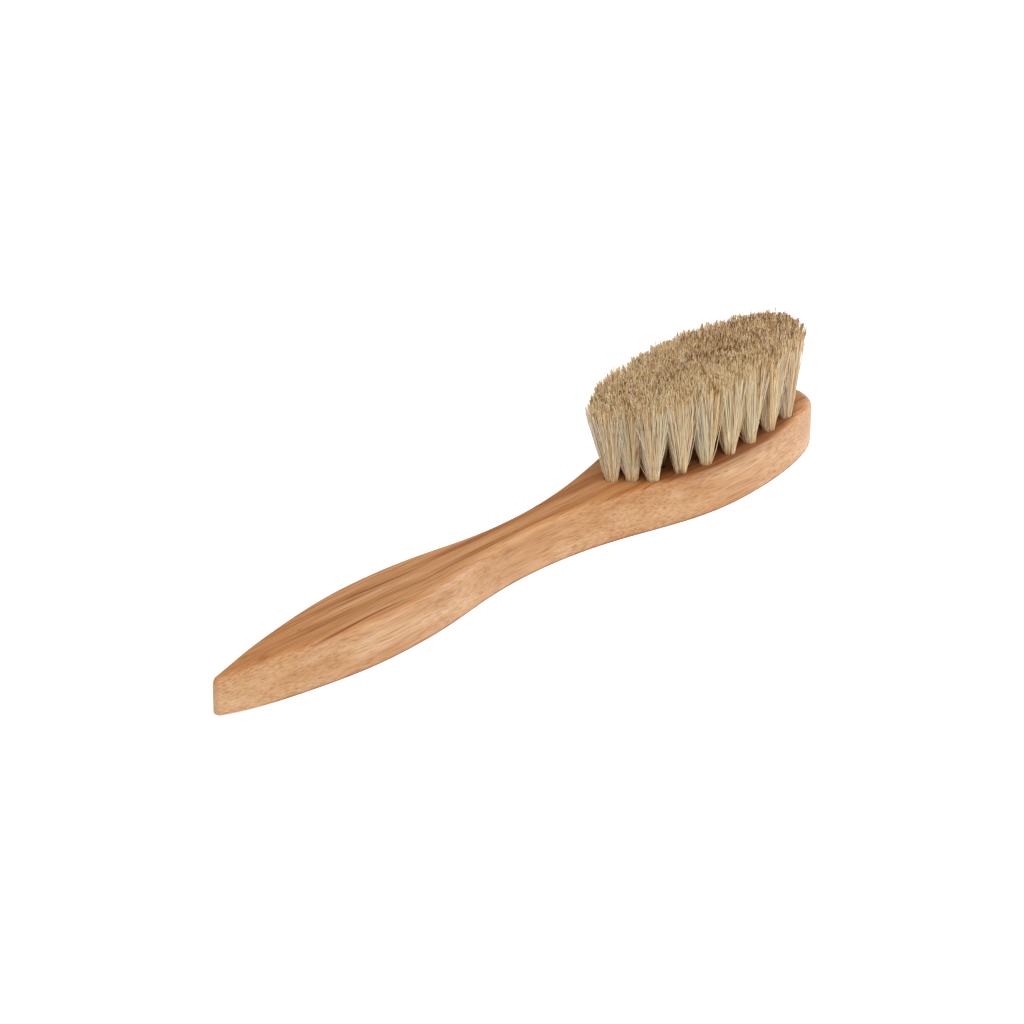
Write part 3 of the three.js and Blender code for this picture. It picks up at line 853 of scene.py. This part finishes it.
anchor_steel, tree, shader = new_material("anchor_steel", roughness=0.35, specular=0.5)
shader.inputs["Metallic"].default_value = 1.0
coordinates = add(tree, "ShaderNodeTexCoord")
lines = stretched_noise(tree, coordinates.outputs["Object"], DRAWN_LINES,
                        detail=3.0, roughness=0.6)
tree.links.new(ramp(tree, lines, STEEL_TONES), shader.inputs["Base Color"])
tree.links.new(math_node(tree, "MULTIPLY_ADD", lines, LINE_ROUGHNESS, STEEL_ROUGHNESS),
               shader.inputs["Roughness"])
bumped(tree, shader, lines, strength=0.2, distance=0.03)
for name in names:
    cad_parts["anchor_" + name].material_slots[0].material = anchor_steel
print("anchors finished:", len(names))

# %% [markdown]
# ## Floor and world
# The brush lies on a white floor in a white room. Strong lamps could bleach both, but they would
# bleach the hair too. Light Path tells which rays the camera sees, so floor and world are whiter
# for those, with no more light on the brush. The floor's matt part still takes its shadow.

# %% A floor that stays white
FLOOR_HALF, FLOOR_DROP = 4000.0, 0.02
FLOOR_GLOW, FLOOR_TONE = 0.72, 0.8
WHITE = (1, 1, 1, 1)

floor_white = bpy.data.materials.new("floor_white")
floor_white.use_nodes = True
tree = floor_white.node_tree
tree.nodes.clear()
rays = add(tree, "ShaderNodeLightPath").outputs
seen = math_node(tree, "MAXIMUM", rays["Is Camera Ray"], rays["Is Glossy Ray"])
seen = math_node(tree, "MAXIMUM", seen, rays["Is Transmission Ray"])
glow = add(tree, "ShaderNodeEmission", Color=WHITE)
tree.links.new(math_node(tree, "MULTIPLY", seen, FLOOR_GLOW), glow.inputs["Strength"])
matt = add(tree, "ShaderNodeBsdfDiffuse", Color=(*grey(FLOOR_TONE), 1))
both = add(tree, "ShaderNodeAddShader")
out = add(tree, "ShaderNodeOutputMaterial")
tree.links.new(glow.outputs[0], both.inputs[0])
tree.links.new(matt.outputs[0], both.inputs[1])
tree.links.new(both.outputs[0], out.inputs["Surface"])

square = np.array([(-1, -1, 0), (1, -1, 0), (1, 1, 0), (-1, 1, 0)])
corners = square * FLOOR_HALF - (0, 0, FLOOR_DROP)
floor = in_scene("floor", mesh_of("floor", corners, [(0, 1, 2, 3)]))
floor.data.materials.append(floor_white)
print("floor nodes:", len(tree.nodes))

# %% The world
WORLD_LIGHT = 0.5

world = bpy.data.worlds.new("studio")
bpy.context.scene.world = world
world.use_nodes = True
tree = world.node_tree
rays = add(tree, "ShaderNodeLightPath").outputs
strength = math_node(tree, "MULTIPLY_ADD", rays["Is Camera Ray"], 1 - WORLD_LIGHT, WORLD_LIGHT)
tree.nodes["Background"].inputs["Color"].default_value = WHITE
tree.links.new(strength, tree.nodes["Background"].inputs["Strength"])
print("world nodes:", len(tree.nodes))

# %% [markdown]
# ## Light and camera
# The brush is seen from beyond the tip of its grip and from its right, with a long lens. A large
# soft lamp off the head's end, on the same side, lights the near side a little more than the face,
# as a window would. A smaller one hangs high beyond the grip and opens the shadows. A sun would be
# quicker to set, but it would throw hard shadows.

# %% Lamps
LAMP_AIM = (0.02, 0, 0.01)


def soft_lamp(name, spot, size, watts):
    """A square area lamp at a spot in metres, turned towards the brush."""
    data = bpy.data.lights.new(name, "AREA")
    data.size = size
    data.energy = watts
    lamp = in_scene(name, data)
    lamp.location = spot
    lamp.rotation_euler = (Vector(LAMP_AIM) - Vector(spot)).to_track_quat("-Z", "Y").to_euler()


soft_lamp("window", spot=(0.85, -0.88, 0.7), size=1.9, watts=16.8)
soft_lamp("overhead", spot=(-0.65, -0.4, 1.1), size=0.9, watts=4.8)
print("lamps:", [lamp.name for lamp in bpy.data.lights])

# %% Camera at the photograph's angle
VIEW_TURN, VIEW_RISE, VIEW_DISTANCE = math.radians(42.41), math.radians(32.43), 1200.0
PIXELS_PER_MM, PIXELS, SENSOR = 4.417, 1024, 36.0
MIDDLE_RIGHT, MIDDLE_UP = -2.05, 12.56

right = np.array([math.cos(VIEW_TURN), -math.sin(VIEW_TURN), 0])
forward = np.array([math.sin(VIEW_TURN) * math.cos(VIEW_RISE),
                    math.cos(VIEW_TURN) * math.cos(VIEW_RISE), -math.sin(VIEW_RISE)])
upward = np.cross(right, forward)
camera_data = bpy.data.cameras.new("camera")
camera_data.sensor_width = SENSOR
camera_data.lens = PIXELS_PER_MM * VIEW_DISTANCE / PIXELS * SENSOR
camera_data.clip_start, camera_data.clip_end = 0.01, 100
camera = in_scene("camera", camera_data)
camera.location = (MIDDLE_RIGHT * right + MIDDLE_UP * upward - VIEW_DISTANCE * forward) * MM
camera.rotation_euler = Vector(forward).to_track_quat("-Z", "Y").to_euler()
bpy.context.scene.camera = camera
bpy.context.scene.view_settings.view_transform = "Standard"
print("lens:", camera_data.lens)
